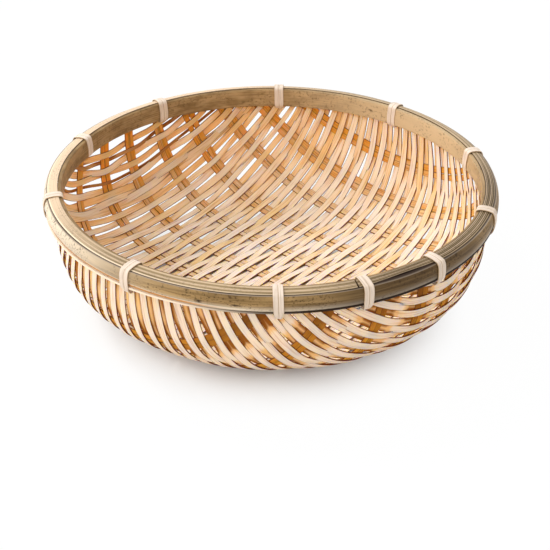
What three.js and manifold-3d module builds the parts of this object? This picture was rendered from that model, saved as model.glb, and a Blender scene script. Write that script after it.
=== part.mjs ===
// A round bamboo basket: a shallow bowl woven from flat splints, edged with a rim of two hoops and a
// cover strip, which eleven cane lashings tie together. Millimetres, +Z up. The origin is on the table
// under the bowl's middle.
//
// The bowl is a plain weave. Flat stakes lie side by side across it, and wefts cross them, each going
// outside one stake and inside the next while its neighbour does the opposite. Both are laid out on a
// flat round mat, which is then bent over the bowl: each point of the mat keeps its distance from the
// middle and its bearing.
import * as THREE from "three";
import { mergeVertices } from "three/addons/utils/BufferGeometryUtils.js";
import Module from "manifold-3d";

const wasm = await Module();
wasm.setup();

// Overall size
const rimDiameter = 200; // over the belly of the outer hoop
const basketHeight = 56; // from the table to the crown of the rim cover

// Splints
const weftCount = 35;
const weftThickness = 0.6;
const weftSideGap = 0.5; // between neighbouring wefts, on the mat
const weftBearing = 51; // degrees, the way the wefts run across the basket
const topWeftDrop = 11; // from the mat's edge to the middle line of the last weft on each side
const weftFade = 10; // from a weft's last stake to where it lies in the middle of the weave again
const stakePlaces = [-96, -70, -41, -16, 5, 27, 48, 69, 87, 106]; // where they cross the middle weft
const stakeLean = 2.6; // degrees, how far they are from square to the wefts
const stakeWidth = 6; // two splints side by side
const stakeThickness = 0.7;
const crossingGap = 0.45; // between a weft and the stake that it crosses

// Bowl
const floorDiameter = 60; // the flat round floor that the basket stands on
const sideRoundness = 2.7; // exponent of the side's curve: 2 is an ellipse, more is squarer

// Rim
const hoopHeight = 8.2;
const outerHoopThickness = 3;
const outerHoopBelly = 0.8; // how far the round skin of the split stem stands out past its edges
const innerHoopThickness = 1.7;
const hoopChamfer = 0.5;
const scarfLength = 12; // along the hoop, where its two slanted ends lap
const jointGap = 0.8; // along the hoop, between a strip's two ends
const coverDepth = 1.8;
const coverCrown = 0.5; // how far the rounded top of the cover stands above the hoops
const seatGap = 0.3; // between pieces that rest against each other
const trimAllowance = 2; // how far each splint runs past its trimmed end before it is cut

// Lashings
const lashingBearings = [17.5, 52.5, 88.5, 124.5, 155.5, 190.5, 233.5, 271.5, 293, 314, 343.5];
const lashingWidth = 3.9;
const lashingThickness = 0.8;
const lashingGroove = 0.35; // between its two turns
const lashingCorner = 1.5; // bend radius of its middle line
const innerHoopJoint = 2; // the lashing that covers the joint, counted from 0
const outerHoopJoint = 4;
const coverJoint = 8;

// Fineness of the curved faces
const hoopStations = 46;
const scarfStations = 3; // from a slanted end to the first square one
const bellySteps = 3;
const sideSteps = 400; // for measuring along the curve of the side
const cornerDivisions = 1;

// Sizes that follow from the ones above
const weaveHalf = stakeThickness / 2 + crossingGap + weftThickness; // half the weave's thickness
const weftLift = weaveHalf - weftThickness / 2; // from the middle of the weave to a weft on a stake
const channelHalf = weaveHalf + seatGap; // half the room between the hoops
const rimRadius = rimDiameter / 2;
const outerHoopInside = rimRadius - outerHoopThickness;
const channelRadius = outerHoopInside - channelHalf;
const innerHoopOutside = channelRadius - channelHalf;
const innerHoopInside = innerHoopOutside - innerHoopThickness;
const hoopTop = basketHeight - coverCrown;
const hoopBottom = hoopTop - hoopHeight;
const coverBottom = hoopTop - coverDepth;
const splintTop = coverBottom - seatGap; // the splints' ends are trimmed level here
const floorHeight = weaveHalf; // from the table to the middle of the weave
const floorRadius = floorDiameter / 2;
const radians = THREE.MathUtils.degToRad;

// The corners of a ring of flat faces that turn inwards and lie no nearer the middle than a radius.
const cornersAround = (radius) => radius / Math.cos(Math.PI / hoopStations);

// The bowl's profile: points on the middle surface of the weave, from the middle of the floor, up the
// side and between the hoops to the splints' ends, each with its distance from the first along it.
function bowlProfile() {
  const power = 2 / sideRoundness;
  const points = [{ radius: 0, height: floorHeight, distance: 0 }];
  for (let i = 0; i <= sideSteps; i++) {
    const turn = (Math.PI / 2) * (1 - i / sideSteps);
    points.push({
      radius: floorRadius + (channelRadius - floorRadius) * Math.cos(turn) ** power,
      height: hoopBottom - (hoopBottom - floorHeight) * Math.sin(turn) ** power,
    });
  }
  points.push({ radius: channelRadius, height: splintTop });
  for (let i = 1; i < points.length; i++) {
    const rise = points[i].height - points[i - 1].height;
    const run = points[i].radius - points[i - 1].radius;
    points[i].distance = points[i - 1].distance + Math.hypot(run, rise);
  }
  return points;
}

const profile = bowlProfile();
const matRadius = profile[profile.length - 1].distance;
const weftPitch = (2 * (matRadius - topWeftDrop)) / (weftCount - 1);
const weftWidth = weftPitch - weftSideGap;

// The place on the bowl of a point of the mat, moved out of the bowl by offset, square to the surface.
// Past the mat's edge it goes straight on up.
function bendToBowl(matX, matY, offset) {
  const distance = Math.hypot(matX, matY);
  const beyond = profile.findIndex((point) => point.distance > distance);
  const next = beyond < 0 ? profile.length - 1 : beyond;
  const from = profile[next - 1];
  const to = profile[next];
  const step = to.distance - from.distance;
  const share = (distance - from.distance) / step;
  const run = to.radius - from.radius;
  const rise = to.height - from.height;
  const radius = from.radius + run * share + (offset * rise) / step;
  const height = from.height + rise * share - (offset * run) / step;
  const bearing = Math.atan2(matY, matX);
  return new THREE.Vector3(radius * Math.cos(bearing), radius * Math.sin(bearing), height);
}

// A closed solid through a row of outlines, which have the same number of points. Looking from the first
// outline to the last, their points run clockwise.
function loft(outlines) {
  const sides = outlines[0].length;
  const faces = [];
  for (let start = 0; start < (outlines.length - 1) * sides; start += sides) {
    for (let j = 0; j < sides; j++) {
      const here = start + j;
      const next = start + ((j + 1) % sides);
      faces.push(here, next, here + sides, next, next + sides, here + sides);
    }
  }
  const last = (outlines.length - 1) * sides;
  for (let j = 1; j + 1 < sides; j++) {
    faces.push(0, j + 1, j);
    faces.push(last, last + j, last + j + 1);
  }
  const geometry = new THREE.BufferGeometry().setFromPoints(outlines.flat());
  geometry.setIndex(faces);
  geometry.computeVertexNormals();
  return geometry;
}

// A geometry as a solid that can be cut, and a cut solid as a geometry.
function solidOf(geometry) {
  const bare = geometry.clone();
  bare.deleteAttribute("normal");
  bare.deleteAttribute("uv");
  const merged = mergeVertices(bare);
  const vertProperties = merged.attributes.position.array;
  const triVerts = new Uint32Array(merged.index.array);
  return new wasm.Manifold(new wasm.Mesh({ numProp: 3, vertProperties, triVerts }));
}

function geometryOf(solid) {
  const { vertProperties, triVerts } = solid.getMesh();
  const geometry = new THREE.BufferGeometry();
  geometry.setAttribute("position", new THREE.BufferAttribute(vertProperties, 3));
  geometry.setIndex(new THREE.BufferAttribute(triVerts, 1));
  geometry.computeVertexNormals();
  return geometry;
}

// What is trimmed off the splints once they stand between the hoops.
const waste = solidOf(
  new THREE.CylinderGeometry(rimRadius, rimRadius, basketHeight)
    .rotateX(Math.PI / 2)
    .translate(0, 0, splintTop + basketHeight / 2),
);

// A splint laid straight across the mat at a bearing, its middle line to one side of the mat's middle,
// bent over the bowl with it, and trimmed. It has an outline at each of the places along it that lie on
// the mat, and one past each end. lift says how far out of the bowl it is pushed at a place.
function splint({ bearing, aside, width, thickness, places, lift }) {
  const edges = [aside - width / 2, aside + width / 2];
  const nearEdge = Math.min(...edges.map(Math.abs));
  const end = Math.sqrt((matRadius + trimAllowance) ** 2 - nearEdge ** 2);
  const alongs = [-end, ...places.filter((place) => Math.abs(place) < end - trimAllowance), end];
  const corner = (along, edge, face) => {
    const x = along * Math.cos(bearing) - edge * Math.sin(bearing);
    const y = along * Math.sin(bearing) + edge * Math.cos(bearing);
    return bendToBowl(x, y, lift(along) + (face * thickness) / 2);
  };
  const outlines = alongs.map((along) => [
    corner(along, edges[0], 1),
    corner(along, edges[1], 1),
    corner(along, edges[1], -1),
    corner(along, edges[0], -1),
  ]);
  return geometryOf(solidOf(loft(outlines)).subtract(waste));
}

// The middle lines of the wefts, on the mat, counted from the one through its middle.
const weftLines = Array.from({ length: weftCount }, (_, i) => (i - (weftCount - 1) / 2) * weftPitch);

// A weft lies flat on each stake that it crosses, outside one and inside the next, and slopes evenly from
// one to the next. Past its last stake on each side it comes back to the middle of the weave.
function weft(weftNumber) {
  const lean = weftLines[weftNumber] * Math.tan(radians(stakeLean));
  const bends = stakePlaces.flatMap((place, i) => {
    const lift = (i + weftNumber) % 2 === 0 ? -weftLift : weftLift;
    return [
      { place: place + lean - stakeWidth / 2, lift },
      { place: place + lean + stakeWidth / 2, lift },
    ];
  });
  bends.unshift({ place: bends[0].place - weftFade, lift: 0 });
  bends.push({ place: bends[bends.length - 1].place + weftFade, lift: 0 });
  const places = bends.map((bend) => bend.place);
  const lifts = bends.map((bend) => bend.lift);
  const slope = new THREE.LinearInterpolant(places, lifts, 1);
  const halfWay = places.slice(1).map((place, i) => (place + places[i]) / 2);
  const betweenStakes = halfWay.filter((_, i) => i % 2 === 0);
  return splint({
    bearing: radians(weftBearing),
    aside: weftLines[weftNumber],
    width: weftWidth,
    thickness: weftThickness,
    places: [...places, ...betweenStakes].sort((a, b) => a - b),
    lift: (place) => slope.evaluate(place)[0],
  });
}

function stake(stakeNumber) {
  const lean = radians(stakeLean);
  const place = stakePlaces[stakeNumber];
  return splint({
    bearing: radians(weftBearing + 90) - lean,
    aside: -place * Math.cos(lean),
    width: stakeWidth,
    thickness: stakeThickness,
    places: weftLines.map((line) => place * Math.sin(lean) + line / Math.cos(lean)),
    lift: () => 0,
  });
}

// A strip bent round into a ring. Its section is a list of [radius, height], clockwise as seen looking
// counter-clockwise round the basket. Its two ends meet under a lashing, slanted by scarf along the
// ring, and the slant fades out over the next stations.
function bentStrip(section, lashingNumber, scarf) {
  const radii = section.map(([radius]) => radius);
  const inside = Math.min(...radii);
  const outside = Math.max(...radii);
  const middle = (inside + outside) / 2;
  const gap = jointGap / middle;
  const slant = (radius) => ((radius - middle) / (outside - inside)) * (scarf / middle);
  const start = radians(lashingBearings[lashingNumber]) + gap / 2;
  const step = (2 * Math.PI - gap) / hoopStations;
  const outlines = [];
  for (let i = 0; i <= hoopStations; i++) {
    const turn = start + i * step;
    const toEnd = Math.min(i, hoopStations - i);
    const slanted = Math.max(0, 1 - toEnd / scarfStations);
    outlines.push(
      section.map(([radius, height]) => {
        const bearing = turn + slanted * slant(radius);
        return new THREE.Vector3(radius * Math.cos(bearing), radius * Math.sin(bearing), height);
      }),
    );
  }
  return loft(outlines);
}

// The outer hoop's skin bulges between its two chamfered edges.
function outerHoop() {
  const inside = cornersAround(outerHoopInside);
  const section = [
    [inside, hoopBottom],
    [inside, hoopTop],
  ];
  const edge = rimRadius - outerHoopBelly;
  section.push([edge - hoopChamfer, hoopTop]);
  for (let i = 0; i <= bellySteps; i++) {
    const share = i / bellySteps;
    const height = hoopTop - hoopChamfer - share * (hoopHeight - 2 * hoopChamfer);
    section.push([edge + outerHoopBelly * Math.sin(Math.PI * share), height]);
  }
  section.push([edge - hoopChamfer, hoopBottom]);
  return bentStrip(section, outerHoopJoint, scarfLength);
}

function innerHoop() {
  const inside = cornersAround(innerHoopInside);
  const section = [
    [innerHoopOutside, hoopBottom],
    [inside + hoopChamfer, hoopBottom],
    [inside, hoopBottom + hoopChamfer],
    [inside, hoopTop - hoopChamfer],
    [inside + hoopChamfer, hoopTop],
    [innerHoopOutside, hoopTop],
  ];
  return bentStrip(section, innerHoopJoint, scarfLength);
}

// The cover lies in the channel over the splints' ends, with its rounded top above the hoops.
function rimCover() {
  const outside = outerHoopInside - seatGap;
  const inside = cornersAround(innerHoopOutside + seatGap);
  const section = [
    [outside, coverBottom],
    [inside, coverBottom],
    [inside, hoopTop],
    [channelRadius, basketHeight],
    [outside, hoopTop],
  ];
  return bentStrip(section, coverJoint, 0);
}

// A lashing: two turns of cane side by side, with a groove between them. It goes from the weave, out
// under the outer hoop, up, over the rim, down the inner hoop and back under it to the weave.
function lashing(bearing) {
  const stand = seatGap + lashingThickness / 2;
  const outer = rimRadius + stand;
  const inner = innerHoopInside - stand;
  const top = basketHeight + stand;
  const bottom = hoopBottom - stand;
  const corner = lashingCorner;
  const path = new THREE.Path();
  path.moveTo(outerHoopInside, bottom);
  path.absarc(outer - corner, bottom + corner, corner, -Math.PI / 2, 0);
  path.absarc(outer - corner, top - corner, corner, 0, Math.PI / 2);
  path.absarc(inner + corner, top - corner, corner, Math.PI / 2, Math.PI);
  path.absarc(inner + corner, bottom + corner, corner, Math.PI, 1.5 * Math.PI);
  path.lineTo(innerHoopOutside, bottom);
  const points = path.getPoints(cornerDivisions);
  const half = lashingThickness / 2;
  const outlines = points.map((point, i) => {
    const before = points[Math.max(0, i - 1)];
    const after = points[Math.min(points.length - 1, i + 1)];
    const along = after.clone().sub(before).normalize();
    const place = (sideways, outwards) =>
      new THREE.Vector3(point.x + along.y * outwards, sideways, point.y - along.x * outwards);
    return [
      place(0, half - lashingGroove),
      place(lashingWidth / 2, half),
      place(lashingWidth / 2, -half),
      place(-lashingWidth / 2, -half),
      place(-lashingWidth / 2, half),
    ];
  });
  return loft(outlines).rotateZ(bearing);
}

// Finishes
const hoopSkin = { color: 0x8f8262, roughness: 0.55, metalness: 0 };
const innerSkin = { color: 0xa08a60, roughness: 0.55, metalness: 0 };
const coverStrip = { color: 0xa89a70, roughness: 0.6, metalness: 0 };
const cane = { color: 0xefe3cf, roughness: 0.6, metalness: 0 };
const paleSplint = { color: 0xe6c9a8, roughness: 0.65, metalness: 0 };
const amberSplint = { color: 0xd79a55, roughness: 0.65, metalness: 0 };

function piece(name, geometry, finish) {
  const mesh = new THREE.Mesh(geometry, new THREE.MeshStandardMaterial(finish));
  mesh.name = name;
  return mesh;
}

const numbered = (name, index) => `${name}_${String(index + 1).padStart(2, "0")}`;

const rim = new THREE.Group();
rim.add(piece("outer_hoop", outerHoop(), hoopSkin));
rim.add(piece("inner_hoop", innerHoop(), innerSkin));
rim.add(piece("rim_cover", rimCover(), coverStrip));
lashingBearings.forEach((bearing, i) => {
  rim.add(piece(numbered("lashing", i), lashing(radians(bearing)), cane));
});

const bowl = new THREE.Group();
stakePlaces.forEach((_, i) => {
  bowl.add(piece(numbered("stake", i), stake(i), amberSplint));
});
weftLines.forEach((_, i) => {
  bowl.add(piece(numbered("weft", i), weft(i), paleSplint));
});

const basket = new THREE.Group();
basket.add(rim, bowl);

export default basket;
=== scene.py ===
"""A round bamboo basket on a pale studio floor.

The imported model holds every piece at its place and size. Here each piece gets the form and the finish of
the real one: single splints where the model joins two, hoops with lapped ends, and lashings that go right
round the rim. Lengths are in millimetres until a mesh is made, and bearings in degrees from +X.
"""

import logging
import math
from dataclasses import dataclass, field
from enum import Enum
from typing import Callable, Optional, Sequence

import bpy
import numpy as np
from bpy.types import Material, Node, NodeSocket, NodeTree, Object
from mathutils import Matrix, Vector


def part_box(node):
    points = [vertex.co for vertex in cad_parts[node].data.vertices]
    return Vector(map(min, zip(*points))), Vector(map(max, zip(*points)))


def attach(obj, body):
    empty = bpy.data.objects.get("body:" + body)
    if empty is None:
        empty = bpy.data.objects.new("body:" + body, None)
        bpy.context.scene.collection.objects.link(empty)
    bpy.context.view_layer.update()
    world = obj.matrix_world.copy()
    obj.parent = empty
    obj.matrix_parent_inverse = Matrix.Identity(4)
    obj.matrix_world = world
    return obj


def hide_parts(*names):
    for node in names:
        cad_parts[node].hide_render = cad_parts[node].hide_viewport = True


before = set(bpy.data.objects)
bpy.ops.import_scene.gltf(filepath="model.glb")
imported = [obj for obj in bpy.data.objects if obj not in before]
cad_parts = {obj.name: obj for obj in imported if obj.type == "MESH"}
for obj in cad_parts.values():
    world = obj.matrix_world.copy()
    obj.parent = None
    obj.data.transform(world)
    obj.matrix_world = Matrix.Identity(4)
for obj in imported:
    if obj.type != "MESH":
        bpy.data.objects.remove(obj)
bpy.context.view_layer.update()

MM = 0.001
BODY = "root"
MIDDLE_WEFT = "weft_18"
RIM_RADIUS = 100.0
HOOP_THICKNESS = 3.0  # the outer hoop's wall
LEFT_BULGE = 1.2  # how far the real basket stands out of round on its left
SHARPEST_BEND = 38.0  # degrees: faces that meet at less are shaded as one
BAMBOO_IOR = 1.5  # typical of dry plant fibre
NOISE_ROUGHNESS = 0.6  # how strong a pattern's finer layers are
# A Mix node's colour sockets share their names with others, so they are reached by number
MIX_SHARE, MIX_UNDER, MIX_OVER, MIX_RESULT = 0, 6, 7, 2
log = logging.getLogger("basket")


class Slot(Enum):
    """The record's material slots, named for the pieces that take their finish from them."""

    OUTER_HOOP = "hoop_skin"
    INNER_HOOP = "inner_skin"
    RIM_COVER = "cover_strip"
    LASHING = "cane"
    WEFT = "pale_splint"
    STAKE = "amber_splint"


# Colours and nodes


def linear(colour: str) -> tuple[float, float, float, float]:
    """Turn an sRGB hex colour into the linear one that shaders read.

    Args:
        colour: six hex digits.

    Returns:
        Red, green, blue and alpha.
    """
    channels = [int(colour[i : i + 2], 16) / 255 for i in (0, 2, 4)]
    return (*[c / 12.92 if c <= 0.04045 else ((c + 0.055) / 1.055) ** 2.4 for c in channels], 1.0)


def add_node(tree: NodeTree, kind: str, settings: dict, links: Optional[dict] = None) -> Node:
    """Add a node with its settings and links.

    Args:
        tree: the node tree that it goes into.
        kind: its Blender type, without the prefix that all shader nodes share.
        settings: values for its sockets, by name or number, or for its own properties.
        links: the output that feeds each socket, by the socket's name or number.

    Returns:
        The new node.
    """
    made = tree.nodes.new("ShaderNode" + kind)
    for name, value in settings.items():
        if isinstance(name, str) and hasattr(made, name):
            setattr(made, name, value)
        else:
            made.inputs[name].default_value = value
    for name, source in (links or {}).items():
        tree.links.new(source, made.inputs[name])
    return made


def new_material(name: str) -> tuple[Material, NodeTree]:
    """Make an empty node material.

    Args:
        name: the finish's name.

    Returns:
        The material and its node tree.
    """
    material = bpy.data.materials.new(name)
    material.use_nodes = True
    material.node_tree.nodes.clear()
    return material, material.node_tree


def grain_noise(tree: NodeTree, sizes: tuple[float, float], detail: float) -> NodeSocket:
    """Make noise that is drawn out along a piece's own grain.

    Args:
        tree: the material's node tree.
        sizes: how wide and how long its streaks are, in millimetres.
        detail: how many finer layers it has.

    Returns:
        A socket with values about 0.5.
    """
    grain = add_node(tree, "Attribute", {"attribute_name": "grain"})
    stretched = add_node(
        tree,
        "VectorMath",
        {"operation": "MULTIPLY", 1: (1 / sizes[0], 1 / sizes[1], 1.0)},
        {0: grain.outputs["Vector"]},
    )
    layers = {"Scale": 1.0, "Detail": detail, "Roughness": NOISE_ROUGHNESS}
    return add_node(tree, "TexNoise", layers, {"Vector": stretched.outputs[0]}).outputs[0]


@dataclass(frozen=True)
class Coat:
    """A colour over those under it. It starts to show where a value passes low, and is full at high."""

    colour: str
    value: NodeSocket
    low: float
    high: float
    strength: float | NodeSocket = 1.0


def lay_coats(tree: NodeTree, ground: str, coats: Sequence[Coat]) -> NodeSocket:
    """Lay colours over one another.

    Args:
        tree: the material's node tree.
        ground: the lowest colour, as hex digits.
        coats: those over it, the lowest first.

    Returns:
        A socket with the colour that shows.
    """
    shown = None
    for coat in coats:
        rise = {"interpolation_type": "SMOOTHSTEP", "From Min": coat.low, "From Max": coat.high}
        fed = {"Value": coat.value}
        (rise if isinstance(coat.strength, float) else fed)["To Max"] = coat.strength
        share = add_node(tree, "MapRange", rise, fed).outputs[0]
        colours = {"data_type": "RGBA", MIX_OVER: linear(coat.colour)}
        fed = {MIX_SHARE: share}
        if shown is None:
            colours[MIX_UNDER] = linear(ground)
        else:
            fed[MIX_UNDER] = shown
        shown = add_node(tree, "Mix", colours, fed).outputs[MIX_RESULT]
    return shown


def seen_directly(tree: NodeTree) -> NodeSocket:
    """Tell rays that look at the background from rays that only light the basket.

    Args:
        tree: the floor's or the room's node tree.

    Returns:
        A socket with 1 for rays from the camera, also through gloss or glass, and 0 for others.
    """
    path = add_node(tree, "LightPath", {}).outputs
    seen = path["Is Camera Ray"]
    for other in ("Is Glossy Ray", "Is Transmission Ray"):
        seen = add_node(tree, "Math", {"operation": "MAXIMUM"}, {0: seen, 1: path[other]}).outputs[0]
    return seen


# Finishes


@dataclass(frozen=True, kw_only=True)
class BambooFinish:
    """What the finishes share: fibres along the strip, which show in its colour and as fine ridges.

    Real fibres are 0.1 to 0.3 mm wide. The render has 0.4 mm to the pixel, so most are drawn wider.
    """

    name: str
    fibre_mm: float
    fibre_length_mm: float
    fibre_detail: float
    ridge_mm: float
    ridge_strength: float
    roughness: float
    specular: float

    def colour(self, tree: NodeTree, fibres: NodeSocket) -> NodeSocket:
        """Mix its colour. Each kind of finish has its own way.

        Args:
            tree: the material's node tree.
            fibres: the fibres' pattern.

        Returns:
            A socket with the colour.
        """
        raise NotImplementedError

    def depth(self) -> dict[str, object]:
        """Shader settings for the light inside it. A dense skin needs none."""
        return {}

    def material(self) -> Material:
        """Make the material.

        Returns:
            A material that follows the grain of the strip that wears it.
        """
        material, tree = new_material(self.name)
        fibres = grain_noise(tree, (self.fibre_mm, self.fibre_length_mm), self.fibre_detail)
        ridges = {"Strength": self.ridge_strength, "Distance": self.ridge_mm * MM}
        bump = add_node(tree, "Bump", ridges, {"Height": fibres})
        shader = add_node(
            tree,
            "BsdfPrincipled",
            {
                "Roughness": self.roughness,
                "IOR": BAMBOO_IOR,
                "Specular IOR Level": self.specular,
                **self.depth(),
            },
            {"Base Color": self.colour(tree, fibres), "Normal": bump.outputs[0]},
        )
        add_node(tree, "OutputMaterial", {}, {"Surface": shader.outputs[0]})
        return material


@dataclass(frozen=True, kw_only=True)
class SplitBamboo(BambooFinish):
    """Culm wood or cane, split and shaved flat by hand and left raw.

    The eye sees a matt strip with long streaks, a tone of its own, dark fibre lines, darker cut edges, and
    a warm glow where light comes through it. Its tint also paints glow and shade in, and the cut edges are
    darker partly as painted shade.
    """

    pale: str
    deep: str
    # dark: the fibre lines, and the painted shade that a high tint calls for; edge: cut edges, partly
    # painted shade
    dark: str
    edge: str
    patch_mm: tuple[float, float] = (6.0, 22.0)  # lighter and darker stretches of one splint
    fibre_mm: float = 0.5
    fibre_length_mm: float = 18.0
    fibre_detail: float = 3.0
    fibre_contrast: float = 1.5
    line_strength: float = 0.28
    ridge_mm: float = 0.05
    ridge_strength: float = 0.35
    roughness: float = 0.7
    specular: float = 0.25
    glow: float = 1.0
    glow_reach_mm: tuple[float, float, float] = (0.9, 0.85, 0.34)

    def colour(self, tree: NodeTree, fibres: NodeSocket) -> NodeSocket:
        """Mix its colour: pale to deep by streaks and by its tint, which holds its own tone and painted glow
        and shade, then painted shade where the tint runs high, dark lines and edges.

        Args:
            tree: the material's node tree.
            fibres: the fibres' pattern.

        Returns:
            A socket with the colour.
        """
        patches = grain_noise(tree, self.patch_mm, 1.0)
        tint, side = (
            add_node(tree, "Attribute", {"attribute_name": name}).outputs["Fac"] for name in ("tint", "side")
        )
        streaks = add_node(
            tree, "Math", {"operation": "MULTIPLY_ADD", 1: self.fibre_contrast}, {0: fibres, 2: patches}
        ).outputs[0]
        tone = add_node(tree, "Math", {"operation": "ADD"}, {0: streaks, 1: tint}).outputs[0]
        off_middle = add_node(tree, "Math", {"operation": "ABSOLUTE"}, {0: side}).outputs[0]
        coats = (
            Coat(self.deep, tone, 1.05, 2.35),
            # painted shade where the tint runs high
            Coat(self.dark, tint, 1.3, 2.3),
            Coat(self.dark, fibres, 0.5, 0.68, self.line_strength),
            # cut edges, darker partly as painted shade along the sides
            Coat(self.edge, off_middle, 0.84, 0.96),
        )
        return lay_coats(tree, self.pale, coats)

    def depth(self) -> dict[str, object]:
        """Shader settings for light that comes through the thin wood, red furthest."""
        reach = {"Subsurface Radius": self.glow_reach_mm, "Subsurface Scale": MM}
        return {"Subsurface Weight": self.glow} | reach


@dataclass(frozen=True, kw_only=True)
class BambooSkin(BambooFinish):
    """The skin of the culm, dried from green to olive and rubbed smooth.

    The eye sees close fibres, broad tones along the hoop, groups of dark mildew flecks, a low sheen, and raw
    wood where a knife cut it.
    """

    pale: str
    deep: str
    warm: str
    fleck: str
    raw: str
    stain: str = "C88A4C"
    tone_mm: tuple[float, float] = (2.2, 40.0)
    fleck_mm: tuple[float, float] = (0.35, 1.3)  # real specks are about half as wide, too fine to show
    fleck_group_mm: tuple[float, float] = (5.0, 14.0)
    fleck_group_edge: tuple[float, float] = (0.4, 0.58)
    fleck_amount: float = 0.65
    fibre_mm: float = 0.35
    fibre_length_mm: float = 30.0
    fibre_detail: float = 4.0
    fibre_contrast: float = 0.8
    ridge_mm: float = 0.08
    ridge_strength: float = 0.5
    roughness: float = 0.45
    specular: float = 0.18

    def colour(self, tree: NodeTree, fibres: NodeSocket) -> NodeSocket:
        """Mix its colour: deep to pale skin, warm and stained by its tint, then flecks, raw wood and marks.
        The tint and the marks also carry painted light and shade.

        Args:
            tree: the material's node tree.
            fibres: the fibres' pattern.

        Returns:
            A socket with the colour.
        """
        tones, flecks, groups = (
            grain_noise(tree, sizes, detail)
            for sizes, detail in ((self.tone_mm, 2.0), (self.fleck_mm, 2.0), (self.fleck_group_mm, 1.0))
        )
        tint, side, mark = (
            add_node(tree, "Attribute", {"attribute_name": name}).outputs["Fac"]
            for name in ("tint", "side", "mark")
        )
        streaks = add_node(
            tree, "Math", {"operation": "MULTIPLY_ADD", 1: self.fibre_contrast}, {0: fibres, 2: tones}
        ).outputs[0]
        grouped = add_node(
            tree,
            "MapRange",
            {
                "interpolation_type": "SMOOTHSTEP",
                "From Min": self.fleck_group_edge[0],
                "From Max": self.fleck_group_edge[1],
                "To Max": self.fleck_amount,
            },
            {"Value": groups},
        ).outputs[0]
        coats = (
            Coat(self.pale, streaks, 0.65, 1.15),
            # warm: the skin's own warmer tones, and painted light
            Coat(self.warm, tint, 0.0, 1.0),
            Coat(self.stain, tint, 1.0, 2.0),
            Coat(self.fleck, flecks, 0.52, 0.66, grouped),
            Coat(self.raw, side, 0.1, 1.0),
            # marks: knots and spots, and painted shade
            Coat(self.fleck, mark, 0.0, 1.0),
        )
        return lay_coats(tree, self.deep, coats)


@dataclass(frozen=True)
class PaperSweep:
    """Matt white studio paper. The eye sees a clean page with the basket's soft shadow on it.

    It glows white to the camera away from the bowl and behind it, and shows its real shadow in front. Behind
    the middle the glow is painted light under the back of the bowl, seen through its slits, and right under
    the bowl the paper has a painted shade colour. Its edges are distances from the middle of the bowl or of
    the glow, in millimetres.
    """

    name: str = "white_paper_sweep"
    paper: str = "F2F4F4"
    painted_shade_under_bowl: str = "C2AC94"  # painted shade, warm as if from the bamboo's own light, seen through the slits only
    bounce: str = "DCD8D2"  # what it throws back onto the basket
    under_edge: tuple[float, float] = (44.0, 53.0)
    glow: float = 0.97
    glow_middle: tuple[float, float, float] = (-4.0, -14.0, 0.0)
    glow_edge: tuple[float, float] = (46.0, 93.0)
    # painted light under the back of the bowl, seen through its slits
    painted_back_light: float = 0.8
    painted_back_light_edge: tuple[float, float] = (26.0, 40.0)

    def material(self) -> Material:
        """Make the material.

        Returns:
            Diffuse paper that turns to plain white light where only the camera sees it.
        """
        material, tree = new_material(self.name)
        seen = seen_directly(tree)
        place = add_node(tree, "NewGeometry", {}).outputs["Position"]
        from_bowl, from_glow, behind = (
            add_node(tree, "VectorMath", {"operation": how, 1: other}, {0: place}).outputs["Value"]
            for how, other in (
                ("DISTANCE", (0.0, 0.0, 0.0)),
                ("DISTANCE", Vector(self.glow_middle) * MM),
                ("DOT_PRODUCT", (0.0, 1.0, 0.0)),
            )
        )
        # painted shade under the bowl, turning to plain paper further out
        coats = (
            Coat(self.paper, from_bowl, self.under_edge[0] * MM, self.under_edge[1] * MM),
            Coat(self.bounce, seen, 1.0, 0.0),
        )
        paper = add_node(tree, "BsdfDiffuse", {}, {"Color": lay_coats(tree, self.painted_shade_under_bowl, coats)})
        white = add_node(tree, "Emission", {"Strength": 1.0})
        glows = []
        # the second glow paints light under the back of the bowl
        for value, edge, most in (
            (from_glow, self.glow_edge, self.glow),
            (behind, self.painted_back_light_edge, self.painted_back_light),
        ):
            rise = {"From Min": edge[0] * MM, "From Max": edge[1] * MM, "To Max": most}
            rise["interpolation_type"] = "SMOOTHSTEP"
            glows.append(add_node(tree, "MapRange", rise, {"Value": value}).outputs[0])
        glow = add_node(tree, "Math", {"operation": "MAXIMUM"}, dict(enumerate(glows))).outputs[0]
        share = add_node(tree, "Math", {"operation": "MULTIPLY"}, {0: glow, 1: seen}).outputs[0]
        mixed = add_node(tree, "MixShader", {}, {0: share, 1: paper.outputs[0], 2: white.outputs[0]})
        add_node(tree, "OutputMaterial", {}, {"Surface": mixed.outputs[0]})
        return material


# Inner wood of the culm, split for the wefts: cream to straw, matt, glowing where the light is behind it;
# its dark and edge also paint the weave's shade
WEFT_WOOD = SplitBamboo(
    name="raw_split_bamboo_pale",
    pale="F2DDCA",
    deep="EEC486",
    dark="9E5C1A",
    edge="74380C",
)
# Older, outer wood, split wider for the stakes: honey to amber, with strong dark fibre lines; its amber also
# paints glow up the walls, its dark the weave's shade
STAKE_WOOD = SplitBamboo(
    name="raw_split_bamboo_amber",
    pale="E4C49E",
    deep="E59A34",
    dark="8A5218",
    edge="8A5624",
    line_strength=0.5,
    glow_reach_mm=(1.1, 0.95, 0.25),
)
# Rattan cane, split and bound on wet: ivory, smooth and faintly shiny, with fine pores; its dark paints the
# shade under the cane
CANE = SplitBamboo(
    name="split_cane",
    pale="E8D6C4",
    deep="DAC4AE",
    dark="3E2A18",
    edge="C0A27E",
    fibre_mm=0.25,
    fibre_length_mm=10.0,
    roughness=0.45,
    specular=0.5,
    glow=0.15,
    glow_reach_mm=(0.3, 0.28, 0.22),
)
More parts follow.
